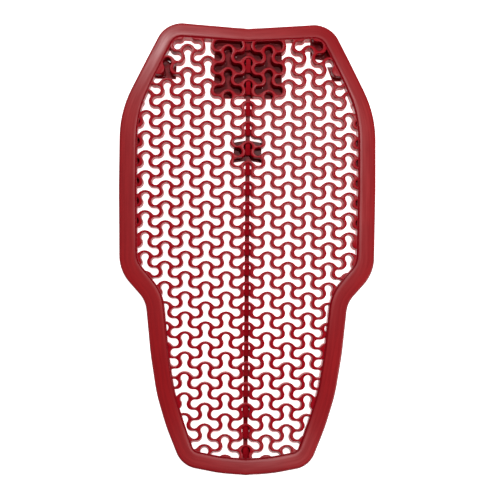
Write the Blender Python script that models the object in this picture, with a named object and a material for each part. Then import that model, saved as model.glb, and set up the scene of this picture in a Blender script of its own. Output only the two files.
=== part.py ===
"""Back protector: one flexible moulded pad, a smooth rim round an open lattice of Y-shaped cells.

The pad is drawn flat from named sizes, cut and joined with Booleans, then every point is bent onto
the back's curve.  It lies on its underside: +Y is the neck end, +X the right, +Z the outer side.
Metres throughout.
"""
import math

import bmesh
import bpy
from mathutils import Matrix, Vector

# Overall sizes
pad_length = 0.444
pad_width = 0.252
lattice_depth = 0.0125
rim_edge_depth = 0.0045
rim_taper_width = 0.0176
rim_neck_width = 0.0140
outline_step = 0.020

# Y-shaped cells, standing in columns that are half a pitch out of step with their neighbours.
# Each lobe is drawn through the points at its turns, in degrees from +X.
column_pitch = 0.0200
row_pitch = 0.0197
lobe_radius = 0.00395
upper_lobe_turns = (174, 90, 6)
lower_lobe_turns = (118, 18, -88)
lobe_reach = 0.00995
lobe_drop = 0.01475
stem_width = 0.0049
stem_drop = 0.00515
arch_wall = 0.0020
lowest_lobe = 0.02395
stretch_start = 0.3383
stretch_reach = 0.667
fewest_points_open = 3

# Spine rib: a strip down the middle at the back, with a gusset sloping up to each arch
rib_width = 0.0046
rib_height = 0.0030
gusset_setback = 0.0015
gusset_bite = 0.0010

# Thin floors that close some cells at the back, and the flat label panel under the neck
floor_thickness = 0.0022
label_width = 0.0670
label_length = 0.0580
label_thickness = 0.0036
label_proud = 0.0018
label_middle = 0.3985

# Width of the rim beside each height of the pad, down to the lattice
rim_stations = (
    # along, width
    (0.00, 0.0172),
    (0.10, 0.0176),
    (0.36, 0.0178),
    (0.42, 0.0194),
    (0.48, 0.0178),
    (0.78, 0.0176),
    (0.88, 0.0152),
    (1.01, 0.0152),
)
neck_starts = 0.93
neck_crest = 0.65

# Bend: the height of the arch along the pad and across it
arch_height = 0.0101
crown_height = 0.0045

# Half outline from the neck to the tail, the left half is its mirror.
# across is a share of half the width, along a share of the length from the tail,
# round a share of the width.
outline_corners = (
    # name, across, along, round
    ("neck_middle", 0.000, 0.9885, 0.60),
    ("neck_corner", 0.647, 1.0030, 0.103),
    ("shoulder", 1.000, 0.7963, 0.44),
    ("side", 1.000, 0.6300, 0.60),
    ("hip", 0.988, 0.4430, 0.16),
    ("waist", 0.782, 0.3777, 0.11),
    ("flank_upper", 0.740, 0.2620, 0.70),
    ("flank_middle", 0.690, 0.1740, 0.60),
    ("flank_lower", 0.615, 0.1054, 0.60),
    ("tail_corner", 0.492, 0.0205, 0.099),
    ("tail_side", 0.214, 0.0054, 0.45),
    ("tail_middle", 0.000, 0.0000, 0.60),
)

# Height of the outer face along the middle, as a share of the arch height
arch_stations = (
    # along, height
    (0.00, 0.85),
    (0.05, 0.53),
    (0.11, 0.32),
    (0.18, 0.42),
    (0.26, 0.75),
    (0.34, 0.95),
    (0.45, 1.00),
    (0.60, 0.98),
    (0.74, 0.95),
    (0.84, 0.84),
    (0.92, 0.58),
    (0.96, 0.33),
    (1.00, 0.00),
)

# Plans of the thin floors. across is a share of half the width, along a share of the length.
floor_plans = {
    "spine_chevron": ((-0.109, 0.6867), (-0.109, 0.7318), (0.000, 0.7374),
                      (0.109, 0.7318), (0.109, 0.6867), (0.000, 0.6914)),
    "left_neck": ((-0.754, 0.8762), (-0.706, 0.9324), (-0.563, 0.9030), (-0.567, 0.8750)),
    "right_shoulder": ((0.667, 0.8750), (0.627, 0.9077), (0.714, 0.9077), (0.770, 0.8750)),
    "right_neck": ((0.714, 0.9189), (0.492, 0.9279), (0.492, 0.9730), (0.690, 0.9730)),
    "tail_middle": ((-0.060, 0.0300), (-0.060, 0.0660), (0.060, 0.0660), (0.060, 0.0300)),
}

# Small lengths that only help the making: how far cutters overrun, how far apart two points are
# when the slope between them is read, and how close points count as one or as on the outline
cut_margin = 0.0010
slope_reach = 0.0010
same_point = 0.000001
on_outline = 0.000010

half_width = pad_width / 2
arch_rise = lobe_radius + arch_wall


def clear_scene():
    for item in list(bpy.data.objects):
        bpy.data.objects.remove(item)


def make_collection(name):
    collection = bpy.data.collections.new(name)
    bpy.context.scene.collection.children.link(collection)
    return collection


def corner_arc(before, corner, after, radius, step):
    """Points of the arc that rounds one corner of the outline."""
    inward = (before - corner).normalized()
    onward = (after - corner).normalized()
    turn = math.pi - inward.angle(onward)
    if turn < 0.01:
        return [corner]
    tangent = min(radius * math.tan(turn / 2), 0.48 * min((before - corner).length,
                                                          (after - corner).length))
    radius = tangent / math.tan(turn / 2)
    centre = corner + (inward + onward).normalized() * radius / math.cos(turn / 2)
    start = corner + inward * tangent - centre
    side = 1 if inward.x * onward.y - inward.y * onward.x < 0 else -1
    count = max(1, math.ceil(turn / max(step, 2 * math.asin(min(1, outline_step / 2 / radius)))))
    return [centre + Matrix.Rotation(side * turn * k / count, 2) @ start for k in range(count + 1)]


def half_outline():
    """Right half of the outline with the width of the rim at each point."""
    corners = [Vector((across * half_width, along * pad_length))
               for _, across, along, _ in outline_corners]
    mirror = [Vector((-corners[1].x, corners[1].y)), Vector((-corners[-2].x, corners[-2].y))]
    ring = [mirror[0]] + corners + [mirror[1]]
    points = []
    for k, (_, _, _, round_share) in enumerate(outline_corners, start=1):
        arc = corner_arc(ring[k - 1], ring[k], ring[k + 1], round_share * pad_width, math.radians(20))
        points += [p for p in arc if p.x > same_point]
    ends = [Vector((0, min(corners[0].y, points[0].y))), Vector((0, corners[-1].y))]
    return [ends[0]] + points + [ends[1]]


def subdivided(points):
    """The same line with no stretch longer than the outline step."""
    dense = []
    for a, b in zip(points, points[1:]):
        count = max(1, round((b - a).length / outline_step))
        dense += [a.lerp(b, k / count) for k in range(count)]
    return dense + [points[-1]]


def mirrored(points):
    return points + [Vector((-p.x, p.y)) for p in reversed(points) if p.x > same_point]


def pad_outline():
    return mirrored(subdivided(half_outline()))


def rim_width_at(point):
    """The rim's width follows its stations, and is slimmest at the middle of the neck."""
    along = point.y / pad_length
    width = rim_stations[0][1]
    for (start, before), (end, after) in zip(rim_stations, rim_stations[1:]):
        if start <= along <= end:
            width = before + (after - before) * (along - start) / (end - start)
    if along < neck_starts:
        return width
    share = min(1, abs(point.x) / (neck_crest * half_width))
    return rim_neck_width + (width - rim_neck_width) * share


def inner_line(outline):
    """The rim's inner edge: the outline moved inward by the rim's width."""
    line = []
    count = len(outline)
    for k, point in enumerate(outline):
        along = (outline[(k + 1) % count] - outline[k - 1]).normalized()
        line.append(point + Vector((along.y, -along.x)) * rim_width_at(point))
    return line


def inside(point, loop):
    crossings = 0
    for a, b in zip(loop, loop[1:] + loop[:1]):
        if (a.y > point.y) != (b.y > point.y):
            if point.x < a.x + (point.y - a.y) * (b.x - a.x) / (b.y - a.y):
                crossings += 1
    return crossings % 2 == 1


def distance_to(point, loop):
    nearest = math.inf
    for a, b in zip(loop, loop[1:] + loop[:1]):
        edge = b - a
        share = max(0, min(1, (point - a).dot(edge) / edge.length_squared))
        nearest = min(nearest, (point - a - edge * share).length)
    return nearest


def stretched(point):
    """Rows grow taller toward the neck."""
    past = max(0, point.y - stretch_start)
    return Vector((point.x, point.y + past * past / stretch_reach))


def lobe(centre, turns):
    angles = [math.radians(turn) for turn in turns]
    return [centre + lobe_radius * Vector((math.cos(a), math.sin(a))) for a in angles]


def cell_outline(top):
    """One Y-shaped cell, clockwise, from the centre of its upper lobe."""
    right_lobe = lobe(Vector((lobe_reach, -lobe_drop)), lower_lobe_turns)
    right_half = [Vector((stem_width / 2, -stem_drop))] + right_lobe
    left_half = [Vector((-p.x, p.y)) for p in reversed(right_half)]
    below = Vector((0, arch_rise - row_pitch))
    flat = lobe(Vector((0, 0)), upper_lobe_turns) + right_half + [below] + left_half
    return [stretched(top + p) for p in flat]


def cell_tops():
    columns = math.ceil(half_width / column_pitch)
    rows = math.ceil(pad_length / row_pitch)
    return [Vector((column * column_pitch, lowest_lobe + row_pitch * (row + 0.5 * (column % 2))))
            for column in range(-columns, columns + 1) for row in range(rows)]


def mesh_object(name, mesh, collection):
    item = bpy.data.objects.new(name, mesh)
    collection.objects.link(item)
    return item


def evaluated_mesh(item):
    return bpy.data.meshes.new_from_object(item.evaluated_get(bpy.context.evaluated_depsgraph_get()))


def flat_solid(name, loops, low, high, collection):
    """Closed solid between two heights whose plan is one or more outlines."""
    curve = bpy.data.curves.new(name + "_plan", "CURVE")
    curve.dimensions = "2D"
    curve.fill_mode = "BOTH"
    curve.extrude = (high - low) / 2
    for loop in loops:
        spline = curve.splines.new("POLY")
        spline.points.add(len(loop) - 1)
        spline.use_cyclic_u = True
        for point, place in zip(spline.points, loop):
            point.co = (place.x, place.y, 0, 1)
    plan = mesh_object(name + "_plan", curve, collection)
    mesh = evaluated_mesh(plan)
    bpy.data.objects.remove(plan)
    mesh.transform(Matrix.Translation((0, 0, (low + high) / 2)))
    work = bmesh.new()
    work.from_mesh(mesh)
    bmesh.ops.remove_doubles(work, verts=work.verts, dist=same_point)
    for side in (1, -1):
        flats = [face for face in work.faces if face.normal.z * side > 0.9]
        bmesh.ops.dissolve_faces(work, faces=flats)
    work.to_mesh(mesh)
    work.free()
    return mesh_object(name, mesh, collection)


def as_cutter(item):
    item.hide_render = True
    item.display_type = "WIRE"
    return item


def boolean(item, other, operation):
    """Apply one Boolean to an object's mesh."""
    modifier = item.modifiers.new(operation.lower(), "BOOLEAN")
    modifier.operation = operation
    modifier.object = other
    modifier.solver = "EXACT"
    mesh = evaluated_mesh(item)
    item.modifiers.remove(modifier)
    item.data = mesh


def rib_solid(tops, low, collection):
    """Saw-toothed strip: high under each arch, sloping down to the back at the next arch."""
    foot = rib_height - lattice_depth
    middle = sorted({round(stretched(top).y, 6) for top in tops if abs(top.x) < same_point})
    profile = [(middle[0] - row_pitch, low)]
    for below, above in zip([middle[0] - row_pitch] + middle, middle):
        profile += [(below + arch_rise - gusset_bite, foot), (above + lobe_radius, -gusset_setback)]
        profile += [(above + arch_rise - gusset_bite, -gusset_setback)]
    profile += [(profile[-1][0], low)]
    side = [Vector(place) for place in profile]
    strip = flat_solid("rib_cutter", [side], -rib_width / 2, rib_width / 2, collection)
    upright = Matrix(((0, 0, 1, 0), (1, 0, 0, 0), (0, 1, 0, 0), (0, 0, 0, 1)))
    strip.data.transform(upright)
    return as_cutter(strip)


def floor_outlines():
    return [[Vector((across * half_width, along * pad_length)) for across, along in plan]
            for plan in floor_plans.values()]


def arch_at(along):
    """Height of the outer face along the middle, a smooth curve through the stations."""
    share = max(0, min(1, along / pad_length))
    last = len(arch_stations) - 2
    k = min(last, max(i for i, (station, _) in enumerate(arch_stations[:-1]) if station <= share))
    stations = [arch_stations[max(0, k - 1)], arch_stations[k], arch_stations[k + 1],
                arch_stations[min(last + 1, k + 2)]]
    (s0, h0), (s1, h1), (s2, h2), (s3, h3) = stations
    t = (share - s1) / (s2 - s1)
    slope1 = (h2 - h0) / (s2 - s0) * (s2 - s1)
    slope2 = (h3 - h1) / (s3 - s1) * (s2 - s1)
    height = ((2 * t ** 3 - 3 * t ** 2 + 1) * h1 + (t ** 3 - 2 * t ** 2 + t) * slope1
              + (3 * t ** 2 - 2 * t ** 3) * h2 + (t ** 3 - t ** 2) * slope2)
    return arch_height * height


def outer_face(x, y):
    """Height of the pad's outer face over a point of its plan."""
    return arch_at(y) - crown_height * (x / half_width) ** 2


def outer_normal(x, y):
    slope_x = (outer_face(x + slope_reach, y) - outer_face(x - slope_reach, y)) / (2 * slope_reach)
    slope_y = (outer_face(x, y + slope_reach) - outer_face(x, y - slope_reach)) / (2 * slope_reach)
    return Vector((-slope_x, -slope_y, 1)).normalized()


def bent(point, outline):
    """Place of a flat point on the bent pad, whose depth runs along the outer face's normal."""
    edge_share = rim_edge_depth / lattice_depth
    near = min(1, distance_to(point.xy, outline) / rim_taper_width)
    depth = point.z * (edge_share + (1 - edge_share) * near)
    return Vector((*point.xy, outer_face(*point.xy))) + outer_normal(*point.xy) * depth


def tidied(item, outline):
    """Drop the points that Booleans leave along straight walls, and split faces into triangles."""
    work = bmesh.new()
    work.from_mesh(item.data)
    bmesh.ops.remove_doubles(work, verts=work.verts, dist=same_point)
    inner = [v for v in work.verts if distance_to(v.co.xy, outline) > on_outline]
    bmesh.ops.dissolve_limit(work, angle_limit=0.002, verts=inner, edges=work.edges,
                             use_dissolve_boundaries=False)
    bmesh.ops.triangulate(work, faces=work.faces, quad_method="BEAUTY", ngon_method="BEAUTY")
    work.to_mesh(item.data)
    work.free()


def label_panel(collection):
    """Flat panel on the pad's back, square to the pad at the panel's middle."""
    bpy.ops.mesh.primitive_cube_add(size=1)
    panel = bpy.context.object
    panel.name = "label_panel"
    for owner in list(panel.users_collection):
        owner.objects.unlink(panel)
    collection.objects.link(panel)
    normal = outer_normal(0, label_middle)
    lean = math.atan2(-normal.y, normal.z)
    sunk = lattice_depth + label_proud - label_thickness / 2
    middle = Vector((0, label_middle, outer_face(0, label_middle))) - normal * sunk
    size = Matrix.Diagonal((label_width, label_length, label_thickness, 1))
    panel.data.transform(Matrix.Translation(middle) @ Matrix.Rotation(lean, 4, "X") @ size)
    return as_cutter(panel)


def elastomer():
    material = bpy.data.materials.new("red_elastomer")
    material.use_nodes = True
    shader = material.node_tree.nodes["Principled BSDF"]
    shader.inputs["Base Color"].default_value = (0.30, 0.022, 0.028, 1)
    shader.inputs["Roughness"].default_value = 0.48
    shader.inputs["Metallic"].default_value = 0
    return material


def set_down(item):
    """Stand the lowest point on the ground and centre the plan on the origin."""
    corners = [Vector(corner) for corner in item.bound_box]
    low = Vector(min(c[axis] for c in corners) for axis in range(3))
    high = Vector(max(c[axis] for c in corners) for axis in range(3))
    item.data.transform(Matrix.Translation((-(low.x + high.x) / 2, -(low.y + high.y) / 2, -low.z)))


clear_scene()
parts = make_collection("back_protector")
cutters = make_collection("cutters")
outline = pad_outline()
field = inner_line(outline)
tops = cell_tops()
cells = [cell_outline(top) for top in tops]
open_cells = [cell for cell in cells
              if sum(inside(point, field) for point in cell) >= fewest_points_open]
low = -lattice_depth - cut_margin

pad = flat_solid("back_protector", [outline], -lattice_depth, 0, parts)
cut = as_cutter(flat_solid("cell_cutter", open_cells, low, cut_margin, cutters))
lattice_field = as_cutter(flat_solid("lattice_field", [field], 2 * low, -2 * low, cutters))
floors = as_cutter(flat_solid("floors", floor_outlines(), 2 * low,
                              floor_thickness - lattice_depth, cutters))
rib = rib_solid(tops, 2 * low, cutters)
boolean(cut, lattice_field, "INTERSECT")
boolean(cut, floors, "DIFFERENCE")
boolean(cut, rib, "DIFFERENCE")
boolean(pad, cut, "DIFFERENCE")
tidied(pad, outline)
for vertex in pad.data.vertices:
    vertex.co = bent(vertex.co, outline)
boolean(pad, label_panel(cutters), "UNION")
set_down(pad)
pad.data.materials.clear()
pad.data.materials.append(elastomer())
pad.data.shade_smooth()
pad.data.set_sharp_from_angle(angle=math.radians(35))
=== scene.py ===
import math

import bmesh
import bpy
import numpy as np
from mathutils import Matrix, Vector


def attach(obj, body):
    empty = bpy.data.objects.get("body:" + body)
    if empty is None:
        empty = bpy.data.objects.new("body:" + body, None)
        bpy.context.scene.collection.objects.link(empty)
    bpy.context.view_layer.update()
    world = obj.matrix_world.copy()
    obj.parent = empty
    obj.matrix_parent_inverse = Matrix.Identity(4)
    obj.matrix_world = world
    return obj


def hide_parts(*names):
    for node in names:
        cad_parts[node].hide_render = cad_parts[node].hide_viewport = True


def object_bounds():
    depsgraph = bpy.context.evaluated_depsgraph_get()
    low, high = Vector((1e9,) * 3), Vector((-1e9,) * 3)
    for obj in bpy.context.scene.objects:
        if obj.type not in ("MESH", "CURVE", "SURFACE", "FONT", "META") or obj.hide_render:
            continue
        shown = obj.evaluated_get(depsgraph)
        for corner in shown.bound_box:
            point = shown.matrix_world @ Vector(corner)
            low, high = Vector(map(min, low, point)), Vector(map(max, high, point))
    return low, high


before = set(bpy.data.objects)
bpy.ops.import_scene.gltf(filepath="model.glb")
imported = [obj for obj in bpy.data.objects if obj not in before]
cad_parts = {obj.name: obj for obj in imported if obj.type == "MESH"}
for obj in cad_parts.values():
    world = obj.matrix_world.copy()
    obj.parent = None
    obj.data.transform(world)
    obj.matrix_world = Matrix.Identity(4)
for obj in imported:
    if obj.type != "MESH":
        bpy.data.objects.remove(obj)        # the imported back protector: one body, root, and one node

cad_low, cad_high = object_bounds()


# The pad's plan and rim.
# The real thing is one moulding of dark red elastomer, with a smooth satin rim all round.
# It starts here as a flat plate whose rings of points follow the rim, and is bent once it is cut.
pad_length = 0.444
half_width = (cad_high.x - cad_low.x) / 2
lattice_depth = 0.0125
rim_edge_depth = 0.0045
rim_taper_width = 0.0176
rim_neck_width = 0.0140
neck_starts = 0.93
neck_crest = 0.65
outline_step = 0.0045
corner_step = math.radians(4)
least_turn = 0.01
most_of_a_side = 0.48
same_point = 0.000001

# Half outline from the neck to the tail. across is a share of half the width, along a share of
# the length from the tail, round a share of the width.
outline_corners = (
    # name, across, along, round
    ("neck_middle", 0.000, 0.9885, 0.60),
    ("neck_corner", 0.647, 1.0030, 0.103),
    ("shoulder", 1.000, 0.7963, 0.44),
    ("side", 1.000, 0.6300, 0.60),
    ("hip", 0.988, 0.4430, 0.16),
    ("waist", 0.782, 0.3777, 0.11),
    ("flank_upper", 0.740, 0.2620, 0.70),
    ("flank_middle", 0.690, 0.1740, 0.60),
    ("flank_lower", 0.615, 0.1054, 0.60),
    ("tail_corner", 0.492, 0.0205, 0.099),
    ("tail_side", 0.214, 0.0054, 0.45),
    ("tail_middle", 0.000, 0.0000, 0.60),
)

# Width of the rim beside each height of the pad, down to the lattice
rim_stations = (
    # along, width
    (0.00, 0.0158),
    (0.10, 0.0176),
    (0.36, 0.0178),
    (0.42, 0.0194),
    (0.48, 0.0178),
    (0.78, 0.0176),
    (0.88, 0.0152),
    (1.01, 0.0152),
)


def corner_arc(before, corner, after, radius):
    """Points of the arc that rounds one corner of the outline."""
    inward = (before - corner).normalized()
    onward = (after - corner).normalized()
    turn = math.pi - inward.angle(onward)
    if turn < least_turn:
        return [corner]
    shorter = min((before - corner).length, (after - corner).length)
    tangent = min(radius * math.tan(turn / 2), most_of_a_side * shorter)
    radius = tangent / math.tan(turn / 2)
    centre = corner + (inward + onward).normalized() * radius / math.cos(turn / 2)
    start = corner + inward * tangent - centre
    side = 1 if inward.x * onward.y - inward.y * onward.x < 0 else -1
    count = max(1, math.ceil(turn / corner_step))
    return [centre + Matrix.Rotation(side * turn * k / count, 2) @ start for k in range(count + 1)]


def pad_outline():
    """Closed outline, clockwise from the middle of the neck, with no stretch over the step."""
    corners = [Vector((across * half_width, along * pad_length))
               for _, across, along, _ in outline_corners]
    mirror = [Vector((-corners[k].x, corners[k].y)) for k in (1, -2)]
    ring = [mirror[0]] + corners + [mirror[1]]
    half = []
    for k, (_, _, _, share) in enumerate(outline_corners, start=1):
        corner = corner_arc(ring[k - 1], ring[k], ring[k + 1], share * 2 * half_width)
        half += [p for p in corner if p.x > same_point]
    half = [Vector((0, min(corners[0].y, half[0].y)))] + half + [Vector((0, corners[-1].y))]
    dense = []
    for a, b in zip(half, half[1:]):
        count = max(1, round((b - a).length / outline_step))
        dense += [a.lerp(b, k / count) for k in range(count)]
    dense.append(half[-1])
    return dense + [Vector((-p.x, p.y)) for p in reversed(dense) if p.x > same_point]


def rim_width_at(point):
    """The rim's width follows its stations, and is slimmest at the middle of the neck."""
    along = point.y / pad_length
    width = float(np.interp(along, *np.array(rim_stations).T))
    if along < neck_starts:
        return width
    return rim_neck_width + (width - rim_neck_width) * min(1, abs(point.x) / (neck_crest * half_width))


outline = pad_outline()
rim_widths = [rim_width_at(point) for point in outline]


def moved_inward(distances):
    """The outline moved inward by a distance of its own at each point."""
    line = []
    for k, point in enumerate(outline):
        along = (outline[(k + 1) % len(outline)] - outline[k - 1]).normalized()
        line.append(point + Vector((along.y, -along.x)) * distances[k])
    return line


field = moved_inward(rim_widths)

# Distances of the plate's rings from the outer edge, and then from the lattice's edge, where a
# narrow strip of the rim steps down to the lattice
edge_rings = (0, 0.0001, 0.0003, 0.0006, 0.0010, 0.0016, 0.0030, 0.0055, 0.0080)
strip_width = 0.0020
strip_foot = 0.0002
strip_rings = (0.0050, strip_width, 0.0016, 0.0011, 0.0006, strip_foot, -0.0008)


def ring_lines():
    """The plate's rings, from the outer edge to just inside the lattice."""
    lines = [moved_inward([d] * len(outline)) for d in edge_rings]
    return lines + [moved_inward([w - d for w in rim_widths]) for d in strip_rings]


def new_object(name, mesh):
    item = bpy.data.objects.new(name, mesh)
    bpy.context.scene.collection.objects.link(item)
    return item


def plate(name):
    """Flat plate with the rim's rings on both faces and one large face inside them."""
    work = bmesh.new()
    faces = []
    for height in (0, -lattice_depth):
        rings = [[work.verts.new((p.x, p.y, height)) for p in line] for line in ring_lines()]
        faces.append(rings)
        for outer, inner in zip(rings, rings[1:]):
            for k in range(len(outer)):
                work.faces.new((outer[k - 1], outer[k], inner[k], inner[k - 1]))
        work.faces.new(rings[-1])
    top, bottom = faces[0][0], faces[1][0]
    for k in range(len(top)):
        work.faces.new((top[k - 1], top[k], bottom[k], bottom[k - 1]))
    bmesh.ops.recalc_face_normals(work, faces=work.faces)
    mesh = bpy.data.meshes.new(name)
    work.to_mesh(mesh)
    work.free()
    return new_object(name, mesh)


pad = plate("moulded_pad")


# The open lattice of Y-shaped cells.
# Each cell is moulded right through, with three round lobes and thin, drafted walls that stand in
# arches between the cells. Geometry Nodes set out a cutter of one cell on every place.
column_pitch = 0.0200
row_pitch = 0.0197
upper_lobe_radius = 0.0041
lower_lobe_radius = 0.0040
lobe_reach = 0.0100
lobe_drop = 0.0144
shoulder_radius = 0.0053
shoulder_reach = 0.00775
shoulder_drop = 0.0051
arch_radius = 0.00875
arch_drop = 0.02225
lowest_lobe = 0.0237
stretch_start = 0.3383
stretch_reach = 0.667
fewest_points_open = 2
upper_marks = (6, 90, 174)
lower_marks = (-28, 72, 178)
cell_arc_step = math.radians(15)
shortest_edge = 0.00002
wall_round = 0.00055
round_steps = 3
wall_draft = 0.0005
cut_margin = 0.001


def turned(angle):
    return Vector((math.cos(angle), math.sin(angle)))


def arc(centre, radius, start, end):
    count = max(2, round(abs(end - start) / cell_arc_step))
    return [centre + radius * turned(start + (end - start) * k / count) for k in range(count + 1)]


def leaving(a, b, radii, side):
    """Angle at which the outline leaves one arc on the tangent to the next."""
    apart = b - a
    return math.atan2(apart.y, apart.x) + side * math.acos(min(1, radii / apart.length))


def cell_outline(grown):
    """One cell, clockwise from the top of its upper lobe, of arcs joined by their tangents."""
    upper = Vector((0, 0))
    shoulder = Vector((shoulder_reach, -shoulder_drop))
    lower = Vector((lobe_reach, -lobe_drop))
    below = Vector((0, -arch_drop))
    out_upper = leaving(upper, shoulder, upper_lobe_radius + shoulder_radius, 1)
    out_shoulder = leaving(shoulder, lower, shoulder_radius + lower_lobe_radius, -1) + math.tau
    out_lower = leaving(lower, below, lower_lobe_radius + arch_radius, 1)
    points = arc(upper, upper_lobe_radius + grown, math.pi / 2, out_upper)
    points += arc(shoulder, shoulder_radius - grown, out_upper + math.pi, out_shoulder)
    points += arc(lower, lower_lobe_radius + grown, out_shoulder - math.pi, out_lower)
    points += arc(below, arch_radius - grown, out_lower + math.pi, math.pi / 2)
    keep = [k for k in range(len(points)) if k == 0 or (points[k] - points[k - 1]).length > shortest_edge]
    half = [points[k] for k in keep]
    return half + [Vector((-p.x, p.y)) for p in reversed(half[1:-1])]


def cell_levels(floor):
    """Heights of the cutter with how far each is grown: drafted walls with rounded edges."""
    deepest = wall_draft * min(1, -floor / lattice_depth)
    levels = [(floor, -deepest)]
    if floor < -lattice_depth:
        levels = [(floor, wall_round - deepest), (-lattice_depth, wall_round - deepest),
                  (wall_round - lattice_depth, -deepest)]
    for step in range(round_steps + 1):
        a = math.radians(90 * step / round_steps)
        levels.append((wall_round * (math.sin(a) - 1), wall_round * (1 - math.cos(a))))
    return levels + [(cut_margin, wall_round)]


def lofts(name, forms):
    """Closed solids, each through its own rings of the same number of points."""
    work = bmesh.new()
    for rings in forms:
        levels = [[work.verts.new(place) for place in ring] for ring in rings]
        for lower, upper in zip(levels, levels[1:]):
            for k in range(len(lower)):
                work.faces.new((lower[k - 1], lower[k], upper[k], upper[k - 1]))
        work.faces.new(levels[0])
        work.faces.new(levels[-1])
    bmesh.ops.recalc_face_normals(work, faces=work.faces)
    mesh = bpy.data.meshes.new(name)
    work.to_mesh(mesh)
    work.free()
    return new_object(name, mesh)


def cell_form(name, floor):
    """Cutter of one cell, from a floor to just above the plate."""
    return lofts(name, [[[(p.x, p.y, height) for p in cell_outline(grown)]
                         for height, grown in cell_levels(floor)]])


def linked(tree, kind, **values):
    """A new node. Words i0, i1 and so on fill its inputs by number, with a value or another node's
    output, and any other word sets a value of the node itself.
    """
    node = tree.nodes.new(kind)
    for key, value in values.items():
        socket = node.inputs[int(key[1:])] if key[0] == "i" and key[1:].isdigit() else None
        if socket is None:
            setattr(node, key, value)
        elif isinstance(value, bpy.types.NodeSocket):
            tree.links.new(value, socket)
        else:
            socket.default_value = value
    return node


def cell_pattern():
    """Geometry Nodes: a cell on every point, whose rows then grow taller toward the neck."""
    tree = bpy.data.node_groups.new("cell_pattern", "GeometryNodeTree")
    tree.is_modifier = True
    for label, kind in (("Cell places", "NodeSocketGeometry"), ("Cell form", "NodeSocketObject"),
                        ("Stretch start", "NodeSocketFloat"), ("Stretch reach", "NodeSocketFloat"),
                        ("Material", "NodeSocketMaterial")):
        tree.interface.new_socket(label, in_out="INPUT", socket_type=kind)
    tree.interface.new_socket("Cells", in_out="OUTPUT", socket_type="NodeSocketGeometry")
    given = tree.nodes.new("NodeGroupInput").outputs
    form = linked(tree, "GeometryNodeObjectInfo", i0=given["Cell form"])
    cells = linked(tree, "GeometryNodeInstanceOnPoints", i0=given["Cell places"],
                   i2=form.outputs["Geometry"])
    solid = linked(tree, "GeometryNodeRealizeInstances", i0=cells.outputs[0])
    position = linked(tree, "GeometryNodeInputPosition").outputs["Position"]
    place = linked(tree, "ShaderNodeSeparateXYZ", i0=position)
    past = linked(tree, "ShaderNodeMath", operation="SUBTRACT", i0=place.outputs["Y"],
                  i1=given["Stretch start"])
    past = linked(tree, "ShaderNodeMath", operation="MAXIMUM", i0=past.outputs[0], i1=0.0)
    squared = linked(tree, "ShaderNodeMath", operation="MULTIPLY", i0=past.outputs[0],
                     i1=past.outputs[0])
    grown = linked(tree, "ShaderNodeMath", operation="DIVIDE", i0=squared.outputs[0],
                   i1=given["Stretch reach"])
    shift = linked(tree, "ShaderNodeCombineXYZ", i1=grown.outputs[0])
    moved = linked(tree, "GeometryNodeSetPosition", i0=solid.outputs[0], i3=shift.outputs[0])
    dressed = linked(tree, "GeometryNodeSetMaterial", i0=moved.outputs[0], i2=given["Material"])
    out = tree.nodes.new("NodeGroupOutput")
    tree.links.new(dressed.outputs[0], out.inputs["Cells"])
    return tree


def made_plain(item):
    """Turn an object's modifiers into its plain mesh."""
    graph = bpy.context.evaluated_depsgraph_get()
    mesh = bpy.data.meshes.new_from_object(item.evaluated_get(graph))
    item.modifiers.clear()
    item.data = mesh
    return item


def set_out(name, form, places, tree):
    """A copy of the cutter's form on each place, through the pattern's tree."""
    mesh = bpy.data.meshes.new(name)
    mesh.from_pydata([(p.x, p.y, 0) for p in places], [], [])
    item = new_object(name, mesh)
    pattern = item.modifiers.new("pattern", "NODES")
    pattern.node_group = tree
    values = {"Cell form": form, "Stretch start": stretch_start, "Stretch reach": stretch_reach,
              "Material": elastomer}
    for socket in tree.interface.items_tree:
        if socket.name in values:
            pattern[socket.identifier] = values[socket.name]
    return made_plain(item)


def stretched(y):
    """Rows grow taller toward the neck, as the pattern's tree makes them."""
    return y + max(0, y - stretch_start) ** 2 / stretch_reach


def inside(x, y, line):
    """Whether a place lies within a closed line."""
    crossings = 0
    for a, b in zip(line, line[1:] + line[:1]):
        if (a.y > y) != (b.y > y):
            crossings += x < a.x + (y - a.y) * (b.x - a.x) / (b.y - a.y)
    return crossings % 2 == 1


def points_in_field(top):
    """How many of a cell's twelve marked points lie inside the rim."""
    lobe_marks = [(0, 0, turn, upper_lobe_radius) for turn in upper_marks]
    lobe_marks += [(side * lobe_reach, -lobe_drop, 90 - side * turn, lower_lobe_radius)
                   for side in (1, -1) for turn in lower_marks]
    marks = [(x + r * math.cos(math.radians(turn)), y + r * math.sin(math.radians(turn)))
             for x, y, turn, r in lobe_marks]
    marks += [(0, arch_radius - arch_drop)]
    marks += [(side * (shoulder_reach - shoulder_radius), -shoulder_drop) for side in (1, -1)]
    return sum(inside(top.x + x, stretched(top.y + y), field) for x, y in marks)


elastomer = bpy.data.materials.new("red_elastomer")
columns = math.ceil(half_width / column_pitch)
rows = math.ceil(pad_length / row_pitch)
places = [Vector((column * column_pitch, lowest_lobe + row_pitch * (row + 0.5 * (column % 2))))
          for column in range(-columns, columns + 1) for row in range(rows)]
open_places = [place for place in places if points_in_field(place) >= fewest_points_open]
tree = cell_pattern()
through_form = cell_form("through_cell", -lattice_depth - cut_margin)
cells = set_out("open_cells", through_form, open_places, tree)


def prisms(name, lines, low, high):
    """Closed solids whose plans are the given lines."""
    return lofts(name, [[[(p.x, p.y, height) for p in line] for height in (low, high)]
                        for line in lines])


def boolean(item, other, operation):
    """Cut or join one object with another, which is then used up."""
    step = item.modifiers.new(operation.lower(), "BOOLEAN")
    step.operation = operation
    step.object = other
    step.solver = "EXACT"
    made_plain(item)
    bpy.data.objects.remove(other)


reach = 3 * lattice_depth
boolean(cells, prisms("field", [field], -reach, reach), "INTERSECT")


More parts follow.
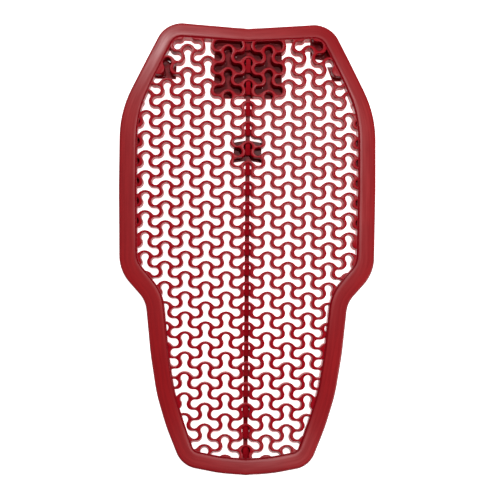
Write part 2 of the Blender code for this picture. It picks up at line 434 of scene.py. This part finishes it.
# Blind pits along the sides.
# Where the lattice runs into the rim's wide shoulders, the last lobes of six rows a side are only
# moulded part of the way in, and the rim's inner edge clips them.
pit_column = 6
pit_rows = (0.58, 0.82)
pit_depth = 0.0075
pit_places = [place for place in places if abs(abs(place.x) - pit_column * column_pitch) < cut_margin
              and pit_rows[0] * pad_length < place.y < pit_rows[1] * pad_length]
pit_form = cell_form("pit_cell", -pit_depth)
pits = set_out("blind_pits", pit_form, pit_places, tree)
boolean(pits, prisms("field", [field], -reach, reach), "INTERSECT")


# Thin floors that close some cells at the back.
# They are moulded with the lattice: an arched one on the spine, one in the lowest cell and three at
# the neck's corners, which differ from left to right.
floor_thickness = 0.0022
floor_plans = {
    # Plan of each floor as its corners: across, a share of half the width, and along, of the length
    "spine_chevron": ((-0.109, 0.6867), (-0.109, 0.7318), (0.000, 0.7374),
                      (0.109, 0.7318), (0.109, 0.6867), (0.000, 0.6914)),
    "left_neck": ((-0.754, 0.8762), (-0.706, 0.9324), (-0.563, 0.9030), (-0.567, 0.8750)),
    "right_shoulder": ((0.667, 0.8750), (0.627, 0.9077), (0.714, 0.9077), (0.770, 0.8750)),
    "right_neck": ((0.714, 0.9189), (0.492, 0.9279), (0.492, 0.9730), (0.690, 0.9730)),
    "tail_middle": ((-0.035, 0.0300), (-0.035, 0.0660), (0.035, 0.0660), (0.035, 0.0300)),
}
plans = [[Vector((across * half_width, along * pad_length)) for across, along in plan]
         for plan in floor_plans.values()]
boolean(cells, prisms("floors", plans, -reach, floor_thickness - lattice_depth), "DIFFERENCE")


# Spine rib down the middle.
# It is moulded with the lattice. A strip runs along the back, and in each cell a ridge climbs from
# the stem to the arch above, with a lower block that fills the stem on both sides of it.
rib_width = 0.0044
rib_foot = -0.0095
ridge_start = 0.0075
ridge_end = 0.0052
ridge_low = -0.0050
ridge_high = -0.0012
block_width = 0.0064
block_end = 0.0015
block_drop = 0.0015
block_overrun = 0.00025
closed_cells = 3    # the lowest cells, whose blocks reach the wall above


def ridge_height(along):
    """Depth of the ridge at a place from the middle of the cell's upper lobe."""
    return ridge_low + (ridge_high - ridge_low) * (along + ridge_start) / (ridge_end + ridge_start)


def across_spine(name, profiles, width):
    """Solids whose side profiles, drawn along the pad and in depth, run across the spine."""
    return lofts(name, [[[(x, stretched(y), z) for y, z in profile] for x in (-width / 2, width / 2)]
                        for profile in profiles])


middle_tops = sorted(place.y for place in open_places if abs(place.x) < cut_margin)
rib_line = [(middle_tops[0] - row_pitch, -reach), (middle_tops[0] - row_pitch, rib_foot)]
blocks = []
for row, top in enumerate(middle_tops):
    rib_line += [(top - ridge_start, rib_foot), (top - ridge_start, ridge_low),
                 (top + ridge_end, ridge_high), (top + ridge_end, rib_foot)]
    end = ridge_end if row < closed_cells else -block_end
    blocks.append([(top - ridge_start - block_overrun, -reach),
                   (top - ridge_start - block_overrun, ridge_low - block_drop),
                   (top + end, ridge_height(end) - block_drop), (top + end, -reach)])
rib_line.append((middle_tops[-1] + ridge_end, -reach))
boolean(cells, across_spine("rib", [rib_line], rib_width), "DIFFERENCE")
boolean(cells, across_spine("stem_blocks", blocks, block_width), "DIFFERENCE")


# Bend of the whole moulding, as the wearer's back bends it.
# The moulding is curved lengthwise like a back and slightly crowned across. Its rim thins toward
# its outer edge, which is rounded, and stands a little proud of the lattice inside it.
arch_height = 0.0101
crown_height = 0.0045
edge_round = 0.0016
back_round = 0.0012
lattice_sink = 0.0009
rim_fall = 0.0010
slope_reach = 0.001
places_at_once = 4000

arch_stations = (
    # along, height
    (0.00, 0.85),
    (0.05, 0.53),
    (0.11, 0.32),
    (0.18, 0.42),
    (0.26, 0.75),
    (0.34, 0.95),
    (0.45, 1.00),
    (0.60, 0.98),
    (0.74, 0.95),
    (0.84, 0.84),
    (0.92, 0.58),
    (0.96, 0.33),
    (1.00, 0.00),
)


def arch_at(y):
    """Height of the outer face along the middle, a smooth curve through the stations."""
    along, height = np.array(arch_stations).T
    share = np.clip(y / pad_length, 0, 1)
    last = len(along) - 1
    k = np.clip(np.searchsorted(along, share, side="right") - 1, 0, last - 1)
    before, after = np.maximum(k - 1, 0), np.minimum(k + 2, last)
    span = along[k + 1] - along[k]
    t = (share - along[k]) / span
    slope_in = (height[k + 1] - height[before]) / (along[k + 1] - along[before]) * span
    slope_out = (height[after] - height[k]) / (along[after] - along[k]) * span
    curve = ((2 * t ** 3 - 3 * t ** 2 + 1) * height[k] + (t ** 3 - 2 * t ** 2 + t) * slope_in
             + (3 * t ** 2 - 2 * t ** 3) * height[k + 1] + (t ** 3 - t ** 2) * slope_out)
    return arch_height * curve


def outer_face(x, y):
    """Height of the outer face over a place of the plan."""
    return arch_at(y) - crown_height * (x / half_width) ** 2


def outer_normal(x, y):
    slope_x = (outer_face(x + slope_reach, y) - outer_face(x - slope_reach, y)) / (2 * slope_reach)
    slope_y = (outer_face(x, y + slope_reach) - outer_face(x, y - slope_reach)) / (2 * slope_reach)
    normal = np.stack([-slope_x, -slope_y, np.ones_like(slope_x)], axis=1)
    return normal / np.linalg.norm(normal, axis=1, keepdims=True)


def from_the_edge(x, y):
    """Distance from the outline, distance from the rim's inner line and place round the rim."""
    line = np.array([tuple(p) for p in outline])
    widths = np.array(rim_widths)
    edge = np.roll(line, -1, axis=0) - line
    length = np.linalg.norm(edge, axis=1)
    run = np.concatenate([[0], np.cumsum(length)[:-1]])
    nearest, inner, round_rim = [], [], []
    for part in np.array_split(np.stack([x, y], axis=1), max(1, len(x) // places_at_once)):
        apart = part[:, None, :] - line[None]
        share = np.clip((apart * edge).sum(2) / (length ** 2), 0, 1)
        away = np.linalg.norm(apart - share[:, :, None] * edge, axis=2)
        k = away.argmin(axis=1)
        row = np.arange(len(part))
        along = share[row, k]
        width = widths[k] * (1 - along) + np.roll(widths, -1)[k] * along
        nearest.append(away[row, k])
        inner.append(width - away[row, k])
        round_rim.append(run[k] + along * length[k])
    return np.concatenate(nearest), np.concatenate(inner), np.concatenate(round_rim)


def rounded(distance, radius):
    """How far a rounded edge has fallen at a distance from the outline."""
    into = np.clip(radius - distance, 0, radius)
    return radius - np.sqrt(radius ** 2 - into ** 2)


def bent(places):
    """Places on the bent moulding of flat places on the plate."""
    x, y, z = places.T
    from_edge, from_lattice, _ = from_the_edge(x, y)
    share = -z / lattice_depth
    near = np.minimum(1, from_edge / rim_taper_width)
    depth = rim_edge_depth + (lattice_depth - rim_edge_depth) * near
    down = np.clip((strip_width - from_lattice) / (strip_width - strip_foot), 0, 1)
    sink = rounded(from_edge, edge_round) + lattice_sink * down * down * (3 - 2 * down)
    sink += rim_fall * (1 - near) ** 2
    height = -share * depth - (1 - share) * sink + share * rounded(from_edge, back_round)
    base = np.stack([x, y, outer_face(x, y)], axis=1)
    return base + outer_normal(x, y) * height[:, None]


def mesh_places(mesh):
    places = np.empty(len(mesh.vertices) * 3)
    mesh.vertices.foreach_get("co", places)
    return places.reshape(-1, 3)


boolean(pad, cells, "DIFFERENCE")
boolean(pad, pits, "DIFFERENCE")
for form in (through_form, pit_form):
    bpy.data.objects.remove(form)
pad.data.vertices.foreach_set("co", bent(mesh_places(pad.data)).ravel())


# Label panel under the neck.
# A flat rectangle with rounded corners is moulded on the back, and shows dark behind the cells with
# painted shade.
label_width = 0.0670
label_length = 0.0580
label_thickness = 0.0036
label_proud = 0.0018
label_middle = 0.3985
label_corner = 0.0040
label_corner_steps = 6


def label_panel():
    """The panel, square to the pad at its own middle."""
    work = bmesh.new()
    bmesh.ops.create_cube(work, size=1, matrix=Matrix.Diagonal((label_width, label_length,
                                                                label_thickness, 1)))
    corners = [edge for edge in work.edges
               if abs(edge.verts[0].co.z - edge.verts[1].co.z) > cut_margin]
    bmesh.ops.bevel(work, geom=corners, offset=label_corner, segments=label_corner_steps, profile=0.5,
                    affect="EDGES")
    mesh = bpy.data.meshes.new("label_panel")
    work.to_mesh(mesh)
    work.free()
    here = np.array([0.0]), np.array([label_middle])
    normal = Vector(outer_normal(*here)[0])
    place = Vector((0, label_middle, outer_face(*here)[0]))
    place -= normal * (lattice_depth + label_proud - label_thickness / 2)
    lean = math.atan2(-normal.y, normal.z)
    mesh.transform(Matrix.Translation(place) @ Matrix.Rotation(lean, 4, "X"))
    return new_object("label_panel", mesh)


boolean(pad, label_panel(), "UNION")


# Setting down: the moulding rests on its underside in the same place as the imported solid.
# Its faces are smooth but for sharp corners. Each point keeps its place for the finish and its painted
# light and shade: how far round the rim, how far from the edge and from the lattice, how deep, and
# whether a floor lies behind it.
sharp_corner = math.radians(38)


def floor_shade_mask(x, y):
    """One where a floor or the label panel closes the cells behind and the walls take painted shade,
    nothing elsewhere.
    """
    label_plan = [Vector((side * label_width / 2, label_middle + side * label_length / 2))
                  for side in (-1, 1)]
    closed = [(x > min(p.x for p in plan)) & (x < max(p.x for p in plan))
              & (y > min(p.y for p in plan)) & (y < max(p.y for p in plan))
              for plan in [label_plan] + plans]
    return np.any(closed, axis=0).astype(float)


places_now = mesh_places(pad.data)
middle = (cad_low + cad_high) / 2
ends = places_now.min(axis=0), places_now.max(axis=0)
set_down = Vector((middle.x - (ends[0][0] + ends[1][0]) / 2, middle.y - (ends[0][1] + ends[1][1]) / 2,
                   cad_low.z - ends[0][2]))
work = bmesh.new()
work.from_mesh(pad.data)
bmesh.ops.remove_doubles(work, verts=work.verts, dist=same_point)
bmesh.ops.triangulate(work, faces=work.faces)
work.to_mesh(pad.data)
work.free()
x, y, z = mesh_places(pad.data).T
from_edge, from_lattice, round_rim = from_the_edge(x, y)
rim_length = sum((b - a).length for a, b in zip(outline, outline[1:] + outline[:1]))
rim_places = {
    "round_rim": np.minimum(round_rim, rim_length - round_rim),
    "from_edge": from_edge,
    "from_lattice": from_lattice,
    "depth": outer_face(x, y) - z,
    "floor_shade_mask": floor_shade_mask(x, y),
}
for name, values in rim_places.items():
    kept = pad.data.attributes.new(name, "FLOAT", "POINT")
    kept.data.foreach_set("value", values.astype(np.float32))
pad.data.transform(Matrix.Translation(set_down))
pad.data.shade_smooth()
pad.data.set_sharp_from_angle(angle=sharp_corner)
pad.data.materials.clear()
pad.data.materials.append(elastomer)
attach(pad, "root")
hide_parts("back_protector")


# Finish of the elastomer.
# Dark crimson moulded rubber. The rim has a satin skin with flow streaks round it, and painted shade in a
# strip at its inner edge and along its outer edge. The lattice has painted shade on the rounded edges of
# its walls, painted light from the glowing floor on the walls of the open cells, painted shade on faces
# deep in the cells such as the floors, and painted shade on the walls over the floors.
lattice_red = (0.310, 0.003, 0.009, 1)
rim_red = (0.320, 0.006, 0.009, 1)
# Painted shade for the rim's inner strip and for walls over floors, and the darker tone of the rim's
# clouds
shade_and_cloud_red = (0.200, 0.001, 0.005, 1)
# Painted shade for the walls' rounded edges and the rim's outer edge, and the darker tone of the rim's
# flow streaks
edge_shade_and_streak_red = (0.110, 0.001, 0.005, 1)
# Painted light: the pink that light from the glowing floor gives the walls of the open cells
wall_painted_light_pink = (0.500, 0.075, 0.078, 1)
# Painted shade that deepens with depth in the cells
depth_shade_red = (0.080, 0.0005, 0.003, 1)
depth_shade_start = 0.0080
rim_blend = 0.0006
# Width and strength of the painted shade along the rim's rounded outer edge
edge_shade_band = 0.0016
edge_shade_tint = 0.75
# Faces that tilt away from up take painted shade, on the rounded edges of the walls
flat_top, rounded_top = 0.97, 0.75      # how far a face points up where a wall's edge is rounded
# Upright faces take the painted light of the walls, or painted shade where a floor lies behind
leaning_wall, upright_wall = 0.5, 0.2   # and where its side begins
streaks_per_metre_round = 22.0
streaks_per_metre_across = 420.0
streak_tint = 0.22
cloud_tint = 0.3
lattice_roughness = 0.27
dull_streak, bright_streak = 0.50, 0.38
thin_gloss, full_gloss = 0.24, 0.44
grain_height = 0.3
bump_strength = 0.12
bump_distance = 0.0004

elastomer.use_nodes = True
nodes = elastomer.node_tree
shader = nodes.nodes["Principled BSDF"]
shader.inputs["Specular IOR Level"].default_value = 0.11
shader.inputs["Coat Roughness"].default_value = 0.32


def place_on_rim(name):
    return linked(nodes, "ShaderNodeAttribute", attribute_name=name).outputs["Fac"]


def ramp(value, start, end, low=0.0, high=1.0):
    """A smooth step of one value, from low at the start to high at the end."""
    return linked(nodes, "ShaderNodeMapRange", interpolation_type="SMOOTHSTEP", i0=value, i1=start,
                  i2=end, i3=low, i4=high).outputs[0]


def blended(share, first, second):
    """Mix of two colours."""
    node = linked(nodes, "ShaderNodeMix", data_type="RGBA", i0=share, i6=first, i7=second)
    return node.outputs[2]


def noise(place, scale, detail):
    return linked(nodes, "ShaderNodeTexNoise", i0=place, i2=scale, i3=detail).outputs["Fac"]


def combined(first, second, operation="MULTIPLY"):
    """Product of two values, or their sum."""
    return linked(nodes, "ShaderNodeMath", operation=operation, i0=first, i1=second).outputs[0]


# Masks and patterns
here = nodes.nodes.new("ShaderNodeTexCoord").outputs["Object"]
flow = linked(nodes, "ShaderNodeCombineXYZ",
              i0=combined(place_on_rim("round_rim"), streaks_per_metre_round),
              i1=combined(place_on_rim("from_edge"), streaks_per_metre_across)).outputs[0]
streaks = noise(flow, scale=1.0, detail=4.0)
clouds = noise(here, scale=16.0, detail=4.0)
grain = noise(here, scale=1600.0, detail=3.0)
on_rim = ramp(place_on_rim("from_lattice"), strip_width - rim_blend, strip_width + rim_blend)
strip_shade_mask = ramp(place_on_rim("from_lattice"), -rim_blend, rim_blend)
edge_shade_mask = ramp(place_on_rim("from_edge"), edge_shade_band, 0.0)
normal = nodes.nodes.new("ShaderNodeNewGeometry").outputs["Normal"]
facing_up = linked(nodes, "ShaderNodeSeparateXYZ", i0=normal).outputs["Z"]

# Colour, with its painted light and shade, from the lattice out to the rim's edge
# Painted shade on faces that tilt away from up, the rounded edges of the walls
colour = blended(ramp(facing_up, flat_top, rounded_top), lattice_red, edge_shade_and_streak_red)
# Painted shade that deepens toward the back of the cells, on the floors and the label panel
colour = blended(ramp(place_on_rim("depth"), depth_shade_start, lattice_depth), colour, depth_shade_red)
# Walls: painted light from the glowing floor in open cells, painted shade where a floor lies behind
walls = blended(place_on_rim("floor_shade_mask"), wall_painted_light_pink, shade_and_cloud_red)
colour = blended(ramp(facing_up, leaning_wall, upright_wall), colour, walls)
# Painted shade on the strip where the rim steps down to the lattice
colour = blended(strip_shade_mask, colour, shade_and_cloud_red)
streaked = blended(ramp(streaks, 0.35, 0.65, 0.0, streak_tint), rim_red, edge_shade_and_streak_red)
streaked = blended(ramp(clouds, 0.4, 0.7, 0.0, cloud_tint), streaked, shade_and_cloud_red)
colour = blended(on_rim, colour, streaked)
# Painted shade along the rim's rounded outer edge
colour = blended(combined(edge_shade_mask, edge_shade_tint), colour, edge_shade_and_streak_red)

# Skin: roughness, the rim's satin coat, and the relief of the grain and the streaks
skin = linked(nodes, "ShaderNodeMix", i0=on_rim, i2=lattice_roughness,
              i3=ramp(streaks, 0.3, 0.7, bright_streak, dull_streak))
gloss = combined(on_rim, ramp(streaks, 0.3, 0.7, full_gloss, thin_gloss))
relief = combined(combined(grain, grain_height), combined(streaks, on_rim), "ADD")
bump = linked(nodes, "ShaderNodeBump", i0=bump_strength, i1=bump_distance)
nodes.links.new(relief, bump.inputs["Height"])
nodes.links.new(gloss, shader.inputs["Coat Weight"])
nodes.links.new(colour, shader.inputs["Base Color"])
nodes.links.new(skin.outputs[0], shader.inputs["Roughness"])
nodes.links.new(bump.outputs[0], shader.inputs["Normal"])


# Floor, light and camera.
# The floor is white paper with an even glow of its own, so that it shows as a plain background, and
# five soft lamps stand round the pad. The camera looks down at it, a little from the tail and the left.
bpy.ops.mesh.primitive_plane_add(size=6)
floor = bpy.context.object
floor.name = "studio_floor"
paper = bpy.data.materials.new("white_paper")
paper.use_nodes = True
paper_shader = paper.node_tree.nodes["Principled BSDF"]
paper_shader.inputs["Base Color"].default_value = (0.9, 0.9, 0.9, 1)
paper_shader.inputs["Roughness"].default_value = 0.7
paper_shader.inputs["Emission Color"].default_value = (1, 1, 1, 1)
paper_shader.inputs["Emission Strength"].default_value = 1.05
floor.data.materials.append(paper)


def soft_light(name, place, target, size, power):
    """Square area lamp that shines from its place towards a target."""
    lamp = bpy.data.lights.new(name, "AREA")
    lamp.shape = "SQUARE"
    lamp.size = size
    lamp.energy = power
    item = new_object(name, lamp)
    item.location = place
    item.rotation_euler = (Vector(target) - Vector(place)).to_track_quat("-Z", "Y").to_euler()


soft_light("neck_softbox", place=(-0.42, 1.25, 1.7), target=(-0.1, 0.2, 0), size=0.35, power=24)
soft_light("tail_softbox", place=(0.30, 0.52, 2.0), target=(0, 0, 0), size=0.15, power=11)
soft_light("front_softbox", place=(0.5, -1.8, 1.1), target=(0, -0.1, 0), size=0.8, power=8)
soft_light("right_softbox", place=(1.9, -0.5, 1.0), target=(0, 0, 0), size=0.8, power=21)
soft_light("left_softbox", place=(-1.7, -0.3, 1.1), target=(0, 0, 0), size=0.8, power=3)
sky = bpy.data.worlds.new("studio")
sky.use_nodes = True
sky.node_tree.nodes["Background"].inputs["Color"].default_value = (1, 1, 1, 1)
sky.node_tree.nodes["Background"].inputs["Strength"].default_value = 0.05
bpy.context.scene.world = sky
bpy.context.scene.view_settings.view_transform = "Standard"

view_distance = 2.0
view_foot = Vector((-0.070, -0.188))
view_roll = math.radians(0.4)
view_middle = Vector((0, -0.0015, 0.012))
photo_side = 500
photo_focal = 2047
photo_middle = (247.0, 248.3)
lens = bpy.data.cameras.new("camera")
lens.sensor_width = 36
lens.lens = lens.sensor_width * photo_focal / photo_side
lens.shift_x = (photo_side / 2 - photo_middle[0]) / photo_side
lens.shift_y = (photo_middle[1] - photo_side / 2) / photo_side
camera = new_object("camera", lens)
back = Vector((*view_foot, math.sqrt(view_distance ** 2 - view_foot.length_squared))).normalized()
right = Vector((0, 1, 0)).cross(back).normalized()
upright = Matrix((right, back.cross(right), back)).transposed()
camera.location = view_middle + back * view_distance
camera.rotation_euler = (upright @ Matrix.Rotation(view_roll, 3, "Z")).to_euler()
bpy.context.scene.camera = camera
